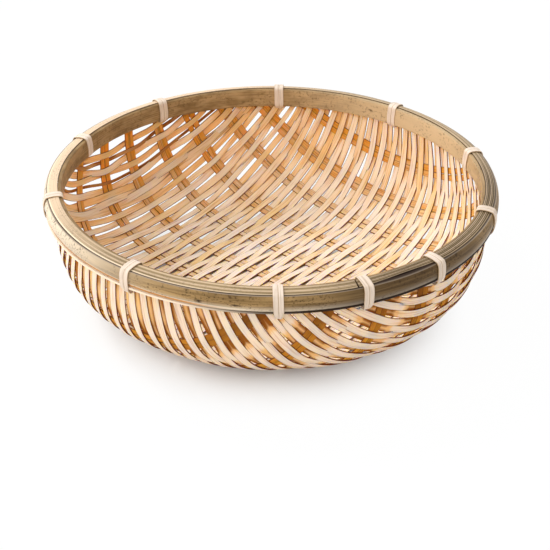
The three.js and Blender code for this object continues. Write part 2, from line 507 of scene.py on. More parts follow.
# Culm skin, bent round while green: olive brown, stained on the left, with painted light on the left and
# painted shade at the front right
HOOP_SKIN = BambooSkin(
    name="bamboo_skin_outer",
    pale="B2905E",
    deep="6E542E",
    warm="E6D4BA",
    fleck="2A1706",
    raw="F8E2C8",
)
# Inside of the culm, planed thin: brown with soft mottling and faint flecks; its warm tone is painted light
# at the back right, and its fleck colour also paints shade
INNER_SKIN = BambooSkin(
    name="bamboo_split_inner",
    pale="B89668",
    deep="886A42",
    warm="D8BC94",
    fleck="4A3418",
    raw="B08A58",
    tone_mm=(3.0, 10.0),
    fleck_mm=(0.9, 1.4),
    fleck_amount=0.45,
)
# Culm skin, split narrow for the cover: grey olive with long lines, like a blade of dry grass; its warm tone
# also paints light on the back and left, and its fleck colour shade on the right
COVER_SKIN = BambooSkin(
    name="bamboo_skin_cover",
    pale="A8906A",
    deep="7A6542",
    warm="E2C6A6",
    fleck="2C1C0C",
    raw="F0D8B8",
    fleck_amount=0.4,
    fibre_mm=0.3,
    fibre_length_mm=45.0,
)


# Shapes


@dataclass
class Strip:
    """One length of bamboo or cane as a closed skin, with what its finish reads at each point.

    The grain is the place across and along the strip and its own seed. Side is -1 to 1 across a splint, and
    on the rim 1 where raw wood shows. Tint deepens or warms the tone, and mark darkens it; both hold the
    piece's own tones and marks, and also painted light and shade.
    """

    points: np.ndarray
    faces: list[tuple[int, ...]]
    grain: np.ndarray
    side: np.ndarray
    tint: np.ndarray
    mark: np.ndarray


def unit(vectors: np.ndarray) -> np.ndarray:
    """Scale rows of vectors to length 1."""
    return vectors / np.linalg.norm(vectors, axis=-1, keepdims=True)


def smooth(share: np.ndarray) -> np.ndarray:
    """Ease shares from 0 to 1 in and out."""
    return share * share * (3 - 2 * share)


def apart(turn: np.ndarray, bearing: float) -> np.ndarray:
    """How far bearings in radians lie from one in degrees, in degrees from -180 to 180."""
    return (np.degrees(turn) - bearing + 180) % 360 - 180


def wander(rng: np.random.Generator, along: np.ndarray, size: float, length: float) -> np.ndarray:
    """Make a slow random wave, as in anything cut or laid by hand.

    Args:
        rng: the random source.
        along: where to work it out.
        size: its usual height.
        length: its usual length.

    Returns:
        The wave's height at each place.
    """
    wave = np.zeros_like(along)
    for share in (1.0, 0.55, 0.3):
        phase = rng.uniform(0, 2 * math.pi)
        stretch = length * share * rng.uniform(0.8, 1.25)
        wave += share * np.sin(2 * math.pi * along / stretch + phase)
    return size * wave / 1.2


def ease_between(places: np.ndarray, values: np.ndarray, at: np.ndarray) -> np.ndarray:
    """Pass smoothly from the value at each given place to the next.

    Args:
        places: where the values are given, in order.
        values: the values there.
        at: where they are wanted.

    Returns:
        The values at these places.
    """
    right = np.clip(np.searchsorted(places, at), 1, len(places) - 1)
    share = np.clip((at - places[right - 1]) / (places[right] - places[right - 1]), 0, 1)
    return values[right - 1] + (values[right] - values[right - 1]) * smooth(share)


def flat_section(width: float, thickness: float, crown: float = 0.06) -> np.ndarray:
    """Draw a flat splint's section: two slightly crowned faces and eased corners.

    Args:
        width: across the splint.
        thickness: through it.
        crown: how far each face bulges.

    Returns:
        Ten points (across, outwards), in order round it, the outer face first.
    """
    half, thick = width / 2, thickness / 2
    ease = min(0.07, 0.22 * width, 0.4 * thick)  # scraped off each corner
    upper = [(half, thick - ease), (half - ease, thick), (0.0, thick + crown)]
    upper += [(-x, y) for x, y in reversed(upper[:2])]
    return np.array(upper + [(-x, -y) for x, y in upper])


def sweep(
    path: np.ndarray,
    across: np.ndarray,
    outwards: np.ndarray,
    section: np.ndarray,
    seed: float,
    tint: np.ndarray | float = 0.0,
    closed: bool = False,
) -> Strip:
    """Carry a section along a path.

    Args:
        path: the middle points.
        across: the section's first direction at each.
        outwards: its second direction at each.
        section: its points, the same all along or one set for each point of the path.
        seed: sets this piece's streaks apart from its neighbours'.
        tint: how deep its tone is, in all, or for each point of the path and of the section.
        closed: True if the last point joins the first.

    Returns:
        The skin, with end faces if it is open.
    """
    count = len(path)
    outlines = np.broadcast_to(section, (count, *section.shape[-2:]))
    sides = outlines.shape[1]
    points = path[:, None] + across[:, None] * outlines[..., :1] + outwards[:, None] * outlines[..., 1:]
    faces = []
    for ring in range(count if closed else count - 1):
        here, there = ring * sides, ((ring + 1) % count) * sides
        for j in range(sides):
            k = (j + 1) % sides
            faces.append((here + j, here + k, there + k, there + j))
    if not closed:
        faces.append(tuple(range(sides))[::-1])
        faces.append(tuple((count - 1) * sides + j for j in range(sides)))
    along = np.concatenate([[0.0], np.cumsum(np.linalg.norm(np.diff(path, axis=0), axis=1))])
    half = np.abs(outlines[..., 0]).max(axis=1, keepdims=True)
    grain = np.stack(
        [
            outlines[..., 0] + 0.7 * outlines[..., 1],  # so that the streaks differ round the edges
            np.broadcast_to(along[:, None], (count, sides)),
            np.full((count, sides), seed),
        ],
        axis=-1,
    )
    side = (outlines[..., 0] / half).reshape(-1)
    tints = np.broadcast_to(np.asarray(tint, float), (count, sides)).reshape(-1)
    return Strip(points.reshape(-1, 3), faces, grain.reshape(-1, 3), side, tints, np.zeros(count * sides))


def settle(points: np.ndarray) -> np.ndarray:
    """Press places a little out of round, as the real basket is: its left side stands further out.

    Args:
        points: places on a round basket.

    Returns:
        The places on the real one.
    """
    pushed = points.copy()
    pushed[:, 0] -= LEFT_BULGE * (-points[:, 0] / RIM_RADIUS).clip(0) ** 2
    return pushed


def make_piece(
    node: str, ending: str, strips: Sequence[Strip], material: Material
) -> Object:
    """Join strips into one piece that rides on the basket and stands for a node.

    Args:
        node: the node that it replaces, which its name starts with.
        ending: the rest of its name.
        strips: its lengths of bamboo or cane.
        material: its finish.

    Returns:
        The piece.
    """
    name = f"{node}_{ending}"
    offsets = np.cumsum([0] + [len(strip.points) for strip in strips])
    faces = []
    for strip, start in zip(strips, offsets):
        faces += [tuple(int(i + start) for i in face) for face in strip.faces]
    mesh = bpy.data.meshes.new(name)
    mesh.from_pydata((settle(np.concatenate([strip.points for strip in strips])) * MM).tolist(), [], faces)
    for attribute, kind, reads in (
        ("grain", "FLOAT_VECTOR", "vector"),
        ("side", "FLOAT", "value"),
        ("tint", "FLOAT", "value"),
        ("mark", "FLOAT", "value"),
    ):
        values = np.concatenate([getattr(strip, attribute) for strip in strips]).astype(np.float32)
        mesh.attributes.new(attribute, kind, "POINT").data.foreach_set(reads, values.reshape(-1))
    mesh.validate()
    mesh.polygons.foreach_set("use_smooth", [True] * len(mesh.polygons))
    mesh.set_sharp_from_angle(angle=math.radians(SHARPEST_BEND))
    mesh.materials.append(material)
    piece = bpy.data.objects.new(name, mesh)
    bpy.context.scene.collection.objects.link(piece)
    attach(piece, BODY)
    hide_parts(node)
    return piece


@dataclass(frozen=True)
class RingSize:
    """How far a ring-shaped node reaches."""

    inside: float
    outside: float
    bottom: float
    top: float

    @classmethod
    def of(cls, node: str) -> "RingSize":
        """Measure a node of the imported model.

        Args:
            node: its name.

        Returns:
            Its least and greatest radius, and its lowest and highest point.
        """
        low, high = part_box(node)
        corners = np.array([vertex.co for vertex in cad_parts[node].data.vertices])
        radii = np.hypot(corners[:, 0], corners[:, 1]) / MM
        return cls(float(radii.min()), float(radii.max()), low.z / MM, high.z / MM)

    @property
    def middle(self) -> float:
        """The height of its middle."""
        return (self.top + self.bottom) / 2


# The weave


@dataclass
class Bowl:
    """The middle surface of the weave, and the flat round mat that is bent over it.

    Each point of the mat keeps its distance from the middle and its bearing.
    """

    outer: RingSize
    inner: RingSize
    floor_radius: float = 34.0
    side_roundness: float = 3.0  # exponent of the side's curve: 2 is an ellipse, more is squarer
    weave_half: float = 0.85
    rim_gap: float = 1.7  # from the outer hoop to the middle of the channel
    steps: int = 600
    channel_radius: float = field(init=False)
    radius: np.ndarray = field(init=False)  # these five run along the profile
    height: np.ndarray = field(init=False)
    distance: np.ndarray = field(init=False)
    run: np.ndarray = field(init=False)
    climb: np.ndarray = field(init=False)

    def __post_init__(self) -> None:
        """Work out the profile from the floor's middle to the splints' ends."""
        self.channel_radius = self.outer.outside - HOOP_THICKNESS - self.rim_gap
        splint_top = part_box(MIDDLE_WEFT)[1].z / MM
        power = 2 / self.side_roundness
        turn = np.linspace(math.pi / 2, 0, self.steps)
        reach = self.channel_radius - self.floor_radius
        rise = self.outer.bottom - self.weave_half
        side = self.floor_radius + reach * np.cos(turn).clip(0) ** power
        self.radius = np.concatenate([[0.0], side, [self.channel_radius]])
        side = self.outer.bottom - rise * np.sin(turn).clip(0) ** power
        self.height = np.concatenate([[self.weave_half], side, [splint_top]])
        lengths = np.hypot(np.diff(self.radius), np.diff(self.height))
        self.distance = np.concatenate([[0.0], np.cumsum(lengths)])
        self.run = np.gradient(self.radius, self.distance)
        self.climb = np.gradient(self.height, self.distance)

    @property
    def mat_radius(self) -> float:
        """The mat's radius, along the surface from the middle to the splints' ends."""
        return float(self.distance[-1])

    def bend(self, x: np.ndarray, y: np.ndarray, offset: np.ndarray) -> tuple[np.ndarray, np.ndarray]:
        """Find places on the bowl.

        Args:
            x: the mat's first coordinate.
            y: the mat's second coordinate.
            offset: how far out of the bowl.

        Returns:
            The places and the directions out of the bowl there.
        """
        distance = np.hypot(x, y)
        radius, height, run, climb = (
            np.interp(distance, self.distance, values)
            for values in (self.radius, self.height, self.run, self.climb)
        )
        size = np.hypot(run, climb)
        run, climb = run / size, climb / size
        east, north = x / np.maximum(distance, 1e-6), y / np.maximum(distance, 1e-6)
        out = np.stack([east * climb, north * climb, -run], axis=-1)
        place = np.stack([east * radius, north * radius, height], axis=-1)
        return place + out * np.reshape(offset, (-1, 1)), out

    def room(self, along: np.ndarray, distance: np.ndarray) -> np.ndarray:
        """Find how much of its width on the mat a splint has room for on the bowl.

        Args:
            along: places along the splint, from the middle of its line.
            distance: how far they are from the mat's middle.

        Returns:
            Shares of the width, less where the splint runs straight up the side.
        """
        away = np.maximum(distance, 1e-6)
        squeeze = np.interp(distance, self.distance, self.radius) / away
        return 1 - (1 - squeeze) * (np.abs(along) / away) ** 2


@dataclass(frozen=True)
class Cut:
    """How one splint is cut and laid.

    Its tone is a tint, deeper up the side as painted glow and shade, and on its outer face. It can be
    narrower where it has less room, tip over its neighbour by so many degrees and stray from its line.
    """

    width: float
    thickness: float
    tint: float
    wall_painted_tone: float
    outside: float
    taper: float
    roll: float = 0.0
    stray: float = 0.2


@dataclass(frozen=True)
class LooseWeft:
    """A weft at the back left that slipped: its number, its line on the mat, its width and its tint."""

    number: int
    line: float
    width: float
    tint: float


@dataclass
class Weave:
    """The bowl: wefts that go outside one stake and inside the next, over stakes laid in pairs.

    A waver is how much something varies along a splint, and over what length.
    """

    bowl: Bowl
    weft_count: int = 70
    weft_bearing: float = 51.0
    weft_width: float = 3.7
    weft_thickness: float = 0.5
    weft_taper: float = 0.9
    high_narrowing: float = 0.95  # of the wefts towards the back left
    top_weft_drop: float = 11.0  # from the mat's edge to the last weft's middle line
    stake_places: tuple[float, ...] = (-96, -70, -41, -16, 5, 27, 48, 69, 87, 106)  # on the middle weft
    stake_lean: float = 2.6
    stake_width: float = 3.0
    stake_thickness: float = 0.5
    stake_taper: float = 0.3
    pair_gap: float = 0.25
    lift: float = 0.56  # of a weft at a stake, from the middle of the weave
    fade: float = 12.0  # from a weft's last stake on to the rim
    rim_share: float = 0.55  # of the lift that is left at the rim
    trim: float = 0.6  # off each end of a splint
    ragged: float = 0.8  # how much more may be off
    step: float = 1.6  # between points of a path
    shingle: float = 13.0  # degrees, how far crowded wefts tip over each other
    crowded: float = 0.15  # how much less room there is where they do it fully
    line_waver: float = 100.0  # length only: how far it strays is the cut's
    tip_waver: tuple[float, float] = (2.0, 60.0)
    width_waver: tuple[float, float] = (0.03, 70.0)
    tone_waver: tuple[float, float] = (0.1, 120.0)
    painted_shade_waver: tuple[float, float] = (0.15, 30.0)
    outside_tone: float = -0.35  # of the wefts' outer faces, which the sun bleached
    # painted shade: the stakes' outer faces are deeper in tone
    stake_outside_tone: float = 0.9
    # painted glow and shade: the stakes deepen in tone up the walls
    stake_wall_painted_tone: float = 1.3
    painted_shade_outside: float = 1.45  # painted shade: how much deeper the tone is where the weave shelters it
    # painted glow of light through the wall, on parts that lie sunk seen from inside
    painted_glow_inside: float = 0.2
    dim_bearing: float = 215.0
    dimmer: float = 0.45  # more painted shade on the side that looks this way
    painted_edge_shade: float = 1.0  # painted shade: how much deeper a sheltered splint's edges are
    painted_highlight: float = 0.3  # painted highlight: how much paler a weft's outer face is where it stands out
    painted_hoop_shade: float = 2.2  # painted shade: how much deeper the tone is right under the hoops
    painted_hoop_shade_below: float = 1.3  # it starts this far under the outer hoop
    painted_hoop_shade_reach: float = 1.2  # and is full so much higher
    # What varies from one splint to the next: usual value, spread, least and most, unless said
    weft_widening: tuple[float, float, float, float] = (0.05, 0.25, -0.5, 0.35)
    weft_tint: tuple[float, float, float, float] = (0.28, 0.2, -0.2, 0.75)
    stake_width_spread: tuple[float, float, float] = (0.2, 2.3, 3.2)  # spread, least and most
    stake_tint: tuple[float, float] = (0.1, 0.15)  # usual value and spread
    stake_tint_spread: float = 0.12  # between the two splints of a pair
    thickness_spread: float = 0.04
    line_spread: float = 0.17
    gap_shares: tuple[float, float] = (0.2, 2.2)  # least and most, of the usual gap
    stake_ripple: float = 0.05  # how far the wefts push a stake
    loose_wefts: tuple[LooseWeft, ...] = (
        LooseWeft(62, 92.2, 3.6, 0.3),
        LooseWeft(63, 96.6, 3.5, 0.7),
        LooseWeft(64, 100.6, 3.4, 0.2),
        LooseWeft(65, 103.4, 1.4, 1.9),
        LooseWeft(66, 107.2, 3.0, 0.8),
        LooseWeft(67, 110.6, 3.4, 0.2),
        LooseWeft(68, 114.2, 1.9, 1.7),
        LooseWeft(69, 117.6, 3.2, 0.9),
    )
    rng: np.random.Generator = field(default_factory=lambda: np.random.default_rng(20))

    @property
    def pitch(self) -> float:
        """From one weft to the next, on the mat. The model's nodes each stand for two."""
        return (self.bowl.mat_radius - self.top_weft_drop) / (self.weft_count / 2 - 1)

    def pick(self, usual: float, spread: float, least: float, most: float) -> float:
        """Draw a random value about the usual one, within limits."""
        return float(np.clip(self.rng.normal(usual, spread), least, most))

    def tones(
        self, cut: Cut, path: np.ndarray, along: np.ndarray, far: np.ndarray, out: np.ndarray
    ) -> np.ndarray:
        """Work out a splint's tints: painted glow and shade deeper up the side, painted shade in the shelter
        of the weave and under the hoops, and a painted highlight where it stands out.

        Args:
            cut: how it is cut.
            path: its middle points.
            along: their places along it.
            far: how far up the side they are, from 0 to 1.
            out: how far out of the weave's middle they are, as a share of the lift.

        Returns:
            A tint for each point of its section at each point of its path.
        """
        # painted glow and shade deepen the tone up the side
        tone = cut.tint + cut.wall_painted_tone * far**1.3 + wander(self.rng, along, *self.tone_waver)
        # painted shade right under the outer hoop
        under = path[:, 2] - self.bowl.outer.bottom + self.painted_hoop_shade_below
        tone = tone + self.painted_hoop_shade * (under / self.painted_hoop_shade_reach).clip(0, 1)
        # painted shade where a face sinks into the weave, more on the dim side
        painted_shade = self.painted_shade_outside * (1 + wander(self.rng, along, *self.painted_shade_waver))
        dim = math.radians(self.dim_bearing)
        facing = (path[:, 0] * math.cos(dim) + path[:, 1] * math.sin(dim)) / self.bowl.channel_radius
        painted_shade = painted_shade * (1 + self.dimmer * facing.clip(0) ** 2)
        sunk = ((-out - 0.1) / 0.6).clip(0, 1)
        raised = out.clip(0, 1)
        # painted shade along the edges of sunk parts
        edges = self.painted_edge_shade * np.array([1.0, 1.0, 0.0, 1.0, 1.0])  # of a face's five points
        outer = (cut.outside + painted_shade * sunk - self.painted_highlight * raised)[:, None] + edges * sunk[:, None]
        # inner face: painted glow where sunk from inside, further up the side, and painted shade on its
        # edges
        inner = (self.painted_glow_inside * far * raised)[:, None] + edges * 1.1 * (raised * far)[:, None]
        return tone[:, None] + np.concatenate([outer, inner], axis=1)

    def splint(
        self, bearing: float, aside: float, cut: Cut, lift: Callable[[np.ndarray], np.ndarray]
    ) -> Strip:
        """Lay one splint, straight across the mat and bent over the bowl.

        Args:
            bearing: the way it runs.
            aside: its middle line's distance to the left of the mat's middle.
            cut: how it is cut and laid.
            lift: how far out of the bowl it goes at places along it.

        Returns:
            Its skin.
        """
        bowl = self.bowl
        end = math.sqrt((bowl.mat_radius - self.trim - self.rng.uniform(0, self.ragged)) ** 2 - aside**2)
        along = np.linspace(-end, end, max(8, round(2 * end / self.step)))
        turn = math.radians(bearing)
        far = (np.hypot(along, aside) / bowl.mat_radius) ** 2
        line = aside + wander(self.rng, along, cut.stray, self.line_waver) * (0.4 + 1.6 * far)
        x = along * math.cos(turn) - line * math.sin(turn)
        y = along * math.sin(turn) + line * math.cos(turn)
        height = lift(along)
        path, out = bowl.bend(x, y, height)
        ahead = unit(np.gradient(path, axis=0))
        across = unit(np.cross(ahead, out))
        out = np.cross(across, ahead)
        room = bowl.room(along, np.hypot(x, y))
        free = (1 - np.abs(height) / self.lift).clip(0, 1)
        tip = np.radians(cut.roll * ((1 - room) / self.crowded).clip(0, 1) * free)
        tip = (tip + np.radians(wander(self.rng, along, *self.tip_waver)))[:, None]
        tipped = across * np.cos(tip) + out * np.sin(tip)
        out = out * np.cos(tip) - across * np.sin(tip)
        widths = (1 + wander(self.rng, along, *self.width_waver)) * (1 - cut.taper * (1 - room))
        scales = np.stack([widths, np.ones_like(widths)], -1)[:, None]
        section = flat_section(cut.width, cut.thickness) * scales
        tones = self.tones(cut, path, along, far, height / self.lift)
        return sweep(path, tipped, out, section, self.rng.uniform(0, 500), tones)

    def weft(self, number: int) -> Strip:
        """Lay one weft.

        Args:
            number: which, counted from 0.

        Returns:
            Its skin.
        """
        line = (number - (self.weft_count - 1) / 2) * self.pitch
        clear = 0.75 * (self.stake_width + self.pair_gap)  # either side of a stake's middle, at full lift
        places, lifts = [], []
        for i, place in enumerate(self.stake_places):
            middle = place + line * math.tan(math.radians(self.stake_lean))
            places += [middle - clear, middle + clear]
            lifts += [-self.lift if (i + number) % 2 == 0 else self.lift] * 2
        places = np.array([places[0] - self.fade, *places, places[-1] + self.fade])
        lifts = np.array([self.rim_share * lifts[0], *lifts, self.rim_share * lifts[-1]])
        high = max(0.0, line / self.bowl.mat_radius)
        width = self.weft_width - self.high_narrowing * high + self.pick(*self.weft_widening)
        thickness = float(self.rng.normal(self.weft_thickness, self.thickness_spread))
        line += float(self.rng.normal(0, self.line_spread))
        tint = self.pick(*self.weft_tint)
        for loose in self.loose_wefts:
            if loose.number == number:
                line, width, tint = loose.line, loose.width, loose.tint
        cut = Cut(
            width=width,
            thickness=thickness,
            tint=tint,
            wall_painted_tone=0.1 + 0.2 * high,
            outside=self.outside_tone,
            taper=self.weft_taper,
            roll=self.shingle,
            stray=0.38 + 0.25 * high,
        )
        return self.splint(self.weft_bearing, line, cut, lambda along: ease_between(places, lifts, along))

    def stake(self, number: int) -> list[Strip]:
        """Lay the two splints of one stake.

        Args:
            number: which stake, counted from 0.

        Returns:
            Their skins.
        """
        lean = math.radians(self.stake_lean)
        place = self.stake_places[number]
        gap = self.pair_gap * self.rng.uniform(*self.gap_shares)
        tint = self.rng.normal(*self.stake_tint)

        def ripple(along: np.ndarray) -> np.ndarray:
            """Push the stake a little away from each weft that crosses it."""
            weft = (along - place * math.sin(lean)) * math.cos(lean) / self.pitch + (self.weft_count - 1) / 2
            return self.stake_ripple * np.cos(math.pi * (weft + number))

        pair = []
        for hand in (-1, 1):
            cut = Cut(
                width=self.pick(self.stake_width, *self.stake_width_spread),
                thickness=self.stake_thickness,
                tint=float(tint + self.rng.normal(0, self.stake_tint_spread)),
                wall_painted_tone=self.stake_wall_painted_tone,
                outside=self.stake_outside_tone,
                taper=self.stake_taper,
            )
            aside = -place * math.cos(lean) + hand * (cut.width + gap) / 2
            pair.append(self.splint(self.weft_bearing + 90 - self.stake_lean, aside, cut, ripple))
        return pair

    def build(self) -> list[Object]:
        """Make a piece for each node of the weave.

        Returns:
            The pairs of stakes, then the wefts, two to a piece.
        """
        amber, pale = STAKE_WOOD.material(), WEFT_WOOD.material()
        pieces = []
        for number in range(len(self.stake_places)):
            pair = self.stake(number)
            pieces.append(make_piece(f"stake_{number + 1:02d}", "pair", pair, amber))
        for number in range(self.weft_count // 2):
            splints = [self.weft(2 * number), self.weft(2 * number + 1)]
            pieces.append(make_piece(f"weft_{number + 1:02d}", "splints", splints, pale))
        return pieces


# The rim


@dataclass(frozen=True)
class Stretch:
    """A stretch of the rim where something shows: most at its bearing, not at all from its reach on."""

    bearing: float
    reach: float
    gain: float = 1.0

    def share(self, turn: np.ndarray) -> np.ndarray:
        """How much it shows, from 0 to 1, at bearings in radians."""
        near = (1 - np.abs(apart(turn, self.bearing)) / self.reach).clip(0, 1)
        return (self.gain * smooth(near)).clip(0, 1)


@dataclass(frozen=True)
class Spot:
    """A small dark mark: its bearing, its height above the hoop's middle, its length and how tall it is."""

    bearing: float
    above: float
    length: float
    tall: float

    def away(self, turn: np.ndarray, heights: np.ndarray, hoop: RingSize, radius: float) -> np.ndarray:
        """Measure how far places on a hoop are from it.

        Args:
            turn: the stations' bearings in radians.
            heights: the places' heights, for each station or the same at all.
            hoop: the hoop's size.
            radius: of the face that it is on.

        Returns:
            Distances, where 1 is about its edge.
        """
        along = np.radians(apart(turn, self.bearing))[:, None] * radius / self.length
        return np.hypot(along, (heights - hoop.middle - self.above) / self.tall)


@dataclass
class Rim:
    """The two hoops and the cover strip between them."""

    outer: RingSize
    inner: RingSize
    cover: RingSize
    stations: int = 300
    joint_gap: float = 0.8
    scarf: float = 12.0
    scarf_stations: int = 12
    hoop_stray: float = 0.12
    cover_stray: float = 0.08
    outer_joint: float = 155.5
    inner_joint: float = 88.5
    cover_joint: float = 290.8
    belly: float = 0.8  # how far the round skin stands out past its edges
    lean: float = 0.35  # how far its upper edge leans in
    skin_steps: int = 15
    lip_height: float = 1.0  # of the raw wood under the skin
    lip_growth: float = 0.75  # how much taller it is on the left
    inner_rise: float = 0.75  # how far the inner hoop stands above the model's
    face_steps: int = 9
    cover_inwards: float = 0.5
    cover_outwards: float = 1.35
    cover_tilt: float = 0.8
    cover_steps: int = 41
    cover_grooves: tuple[tuple[float, float, float], ...] = (
        (0.72, 0.1, 0.02),
        (0.3, 0.05, 0.02),
        (0.02, 0.04, 0.02),
        (-0.3, 0.07, 0.02),
        (-0.72, 0.1, 0.02),
    )  # place from -1 to 1, depth and width
    seam_opening: float = 1.9
    open_seam: Stretch = Stretch(304.0, 15.0)
    tall_lip: Stretch = Stretch(216.0, 64.0)
    raw_lip: Stretch = Stretch(218.0, 66.0, 1.5)
    # painted light on the outer hoop's left
    outer_painted_light: Stretch = Stretch(196.0, 62.0)
    outer_stained: Stretch = Stretch(226.0, 60.0, 1.4)
    # painted shade on the outer hoop's front right
    outer_painted_shade: Stretch = Stretch(308.0, 48.0, 1.5)
    # painted light on the inner hoop's face at the back right, painted shade at the back left
    inner_painted_light: Stretch = Stretch(40.0, 70.0)
    inner_painted_shade: Stretch = Stretch(140.0, 60.0, 1.5)
    # painted shade on the cover at the right; its raw arris shown more on the left as painted light; painted
    # light on its back and left
    cover_painted_shade: Stretch = Stretch(330.0, 72.0, 1.6)
    cover_raw_and_painted_light: Stretch = Stretch(185.0, 100.0)
    cover_painted_light: Stretch = Stretch(145.0, 108.0, 1.4)
    knots: tuple[Spot, ...] = (
        Spot(253.5, -0.4, 0.9, 0.8),
        Spot(306.0, 0.6, 1.3, 0.4),
        Spot(262.0, -0.4, 1.6, 0.3),
    )
    inner_spots: tuple[Spot, ...] = (
        Spot(71.0, 0.85, 1.2, 0.35),
        Spot(59.5, 0.25, 1.2, 0.35),
        Spot(104.0, -0.15, 0.9, 0.4),
    )
    rng: np.random.Generator = field(default_factory=lambda: np.random.default_rng(7))

    def turns(self, joint: float) -> np.ndarray:
        """The stations' bearings in radians, from one side of a joint round to the other."""
        gap = self.joint_gap / self.outer.outside
        return math.radians(joint) + np.linspace(gap / 2, 2 * math.pi - gap / 2, self.stations)

    def ring(self, section: np.ndarray, joint: float, scarf: float, seed: float, stray: float) -> Strip:
        """Bend a strip round into a ring, with its two ends side by side under a lashing.

        Args:
            section: its points (radius, height), the same all round or one set for each station.
            joint: the joint's bearing.
            scarf: how far the slant of its ends runs along it.
            seed: sets its streaks apart.
            stray: how far it wanders up, down, in and out.

        Returns:
            Its skin.
        """
        outlines = np.broadcast_to(section, (self.stations, *section.shape[-2:]))
        middle = outlines.mean(axis=(0, 1))
        shape = outlines - middle
        turn = self.turns(joint)
        arc = turn * middle[0]
        number = np.arange(self.stations)
        to_end = np.minimum(number, self.stations - 1 - number) / self.scarf_stations
        slant = (1 - to_end).clip(0)[:, None] * shape[..., 0] / (2 * np.abs(shape[..., 0]).max())
        bearing = turn[:, None] + slant * scarf / middle[0]
        wave = wander(self.rng, arc, stray, 2 * math.pi * middle[0] / 3)
        lift = wander(self.rng, arc, stray * 0.6, 2 * math.pi * middle[0] / 4)
        fade = (to_end / 2).clip(0, 1)
        radius = outlines[..., 0] + (wave * fade)[:, None]
        height = outlines[..., 1] + (lift * fade)[:, None]
        straight = np.stack([arc, 0 * arc, 0 * arc], -1)
        across, outwards = (np.tile(way, (self.stations, 1)) for way in ([0.0, 1.0, 0.0], [0.0, 0.0, 1.0]))
        strip = sweep(straight, across, outwards, shape, seed)
        bent = np.stack([radius * np.cos(bearing), radius * np.sin(bearing), height], axis=-1)
        strip.points = bent.reshape(-1, 3)
        return strip

    def outer_hoop(self) -> Strip:
        """Shape the outer hoop: a split stem, its round skin outwards, with a raw lip under it on the left.

        Returns:
            Its skin.
        """
        turn = self.turns(self.outer_joint)
        inside = self.outer.outside - HOOP_THICKNESS
        edge = self.outer.outside - self.belly
        top, bottom = self.outer.top, self.outer.bottom
        lip = self.lip_height + self.lip_growth * self.tall_lip.share(turn)
        share = np.linspace(0, 1, self.skin_steps)
        bulge = self.belly * np.sin(math.pi * (0.04 + 0.92 * share)) ** 0.8 - self.lean * (1 - share) ** 3
        shoulder = [
            (inside, bottom),
            (inside, top),
            (edge - 1.6, top - 0.1),
            (edge - 1.15, top - 0.2),
            (edge - self.lean, top - 0.32),
        ]
        start = top - 0.6
        skin = [(edge + out, start + (bottom + lip - start) * down) for out, down in zip(bulge, share)]
        foot = [
            (edge - 0.25, bottom + lip - 0.08),
            (edge - 0.22, bottom + 0.7 * lip),
            (edge - 0.25 + 0.5 * lip, bottom + 0.66 * lip),
            (edge - 0.3 + 0.5 * lip, bottom + 0.08 * lip),
            (edge - 0.6, bottom),
        ]
        lines = [
            np.stack([radius + 0 * turn, height + 0 * turn], -1) for radius, height in shoulder + skin + foot
        ]
        section = np.stack(lines, axis=1)
        strip = self.ring(section, self.outer_joint, self.scarf, 11.0, self.hoop_stray)

        last = len(shoulder) + self.skin_steps - 1  # the skin's lowest line
        raw = [1.0, 1.0, 0.9, 0.85, 0.5] + [0.0] * self.skin_steps + [0.0, 0.3, 1.0, 1.0, 1.0]
        warm = np.concatenate([[0.0] * len(shoulder), (1.6 * share - 0.75).clip(0, 1), [1.0] * len(foot)])
        stained = np.zeros(section.shape[:2])
        stained[:, last - 2 : last + 2] = 2.0 * self.outer_stained.share(turn)[:, None]
        # Painted shade: in the seam under the cover along the shoulder, and along the skin's foot where it
        # overhangs the weave, less where the raw lip shows
        grey = 1 - self.raw_lip.share(turn)
        dark = np.zeros(section.shape[:2])
        dark[:, : len(shoulder)] = (0.0, 1.0, 1.0, 0.9, 0.45)
        dark[:, last] = 0.9 * grey
        dark[:, last + 1] = 0.95
        dark[:, last + 2 :] = 0.95 * grey[:, None]
        for knot in self.knots:
            away = knot.away(turn, section[..., 1], self.outer, edge)
            dark = np.maximum(dark, 0.9 * np.exp(-6 * (away - 0.8) ** 2))
        strip.side = np.tile(raw, self.stations)
        # painted light on the left
        painted_light = 0.9 * self.outer_painted_light.share(turn)[:, None]
        strip.tint = np.maximum(np.maximum(warm, painted_light), stained).reshape(-1)
        # painted shade at the front right joins the knots
        strip.mark = np.maximum(dark, 0.6 * self.outer_painted_shade.share(turn)[:, None]).reshape(-1)
        return strip

    def inner_hoop(self) -> Strip:
        """Shape the inner hoop: a thinner strip, its flat face towards the bowl.

        Returns:
            Its skin.
        """
        turn = self.turns(self.inner_joint)
        inside, outside = self.inner.inside, self.inner.outside
        top, bottom = self.inner.top + self.inner_rise, self.inner.bottom
        steps = np.arange(self.face_steps) + 0.5
        hollow = 0.08 * np.sin(math.pi * steps / self.face_steps)
        face = np.linspace(bottom + 0.45, top - 0.45, self.face_steps)
        foot = [(outside, bottom), (inside + 0.4, bottom), (inside + 0.12, bottom + 0.12)]
        head = [(inside + 0.12, top - 0.12), (inside + 0.4, top), (outside, top)]
        section = np.array(foot + list(zip(inside - hollow, face)) + head)
        strip = self.ring(section, self.inner_joint, self.scarf, 37.0, self.hoop_stray)
        dark = np.zeros((self.stations, len(section)))
        for spot in self.inner_spots:
            dark = np.maximum(dark, np.exp(-(spot.away(turn, section[:, 1], self.inner, inside) ** 2)))
        # painted shade along the top, under the cover
        dark[:, -len(head) :] = 0.3
        strip.side = np.tile([0.6, 0.5, 0.3] + [0.0] * (self.face_steps + len(head)), self.stations)
        # painted light at the back right, painted shade at the back left
        strip.tint = np.broadcast_to(0.75 * self.inner_painted_light.share(turn)[:, None], dark.shape).reshape(-1)
        strip.mark = np.maximum(dark, 0.25 * self.inner_painted_shade.share(turn)[:, None]).reshape(-1)
        return strip

